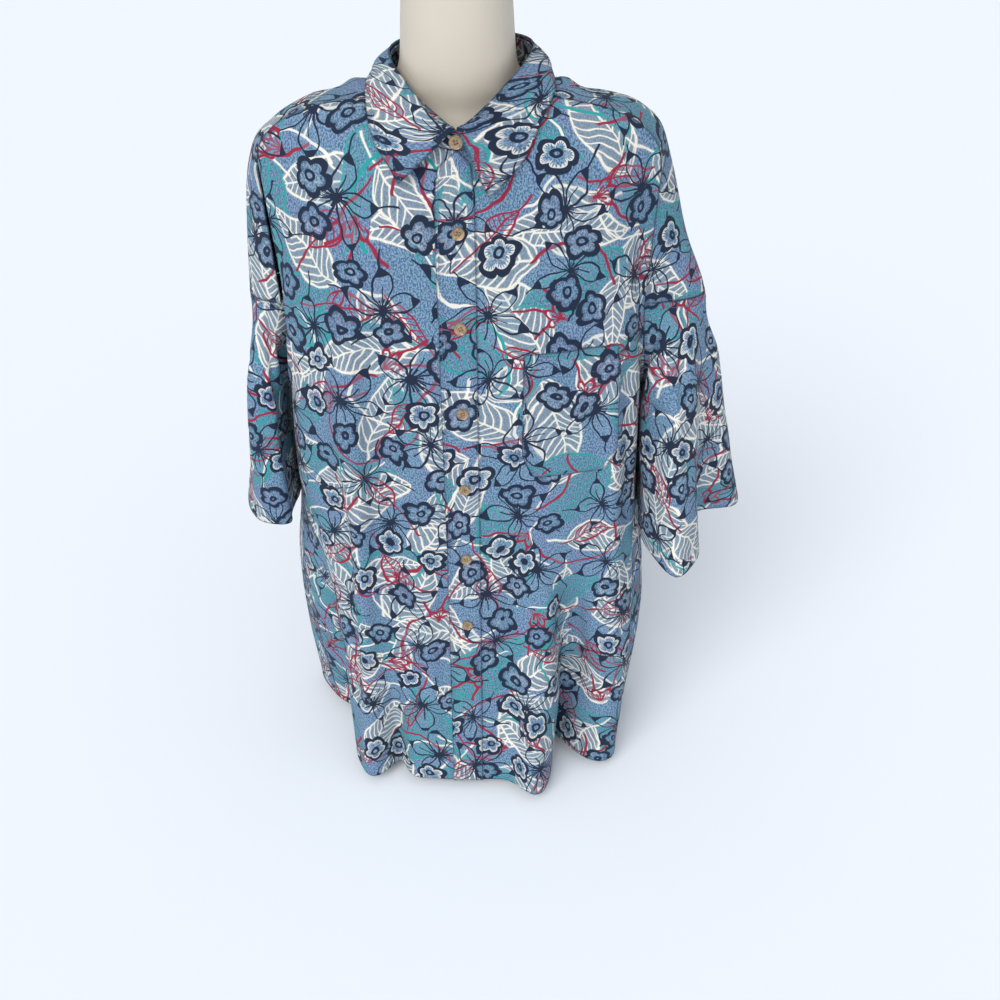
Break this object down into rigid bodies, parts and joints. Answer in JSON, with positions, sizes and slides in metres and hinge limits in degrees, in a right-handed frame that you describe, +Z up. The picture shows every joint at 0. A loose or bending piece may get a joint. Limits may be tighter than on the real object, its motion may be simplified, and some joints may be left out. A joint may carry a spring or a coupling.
{
  "type": "hawaiian shirt on a dress form",
  "caption": "Loose short-sleeved printed shirt with a buttoned front, turned-down collar and chest pocket, hanging on a limbless dress form.",
  "frame": {"origin": "centre of the dress form's flat base, on the surface it stands on", "axes": "+Z up, the shirt's front faces -Y, the wearer's left is +X"},
  "size_m": [0.5415, 0.2686, 0.87],
  "materials": {
    "printed_cotton": "matte woven",
    "button_horn": "satin",
    "form_cream": "matte"
  },
  "bodies": {
    "root": {"front_left": "printed_cotton", "front_right": "printed_cotton", "placket": "printed_cotton", "back": "printed_cotton", "yoke": "printed_cotton", "sleeve_left": "printed_cotton", "sleeve_right": "printed_cotton", "collar_stand": "printed_cotton", "collar_leaf": "printed_cotton", "pocket": "printed_cotton", "button_1": "button_horn", "button_2": "button_horn", "button_3": "button_horn", "button_4": "button_horn", "button_5": "button_horn", "button_6": "button_horn", "button_7": "button_horn", "dress_form": "form_cream"}
  },
  "joints": []
}
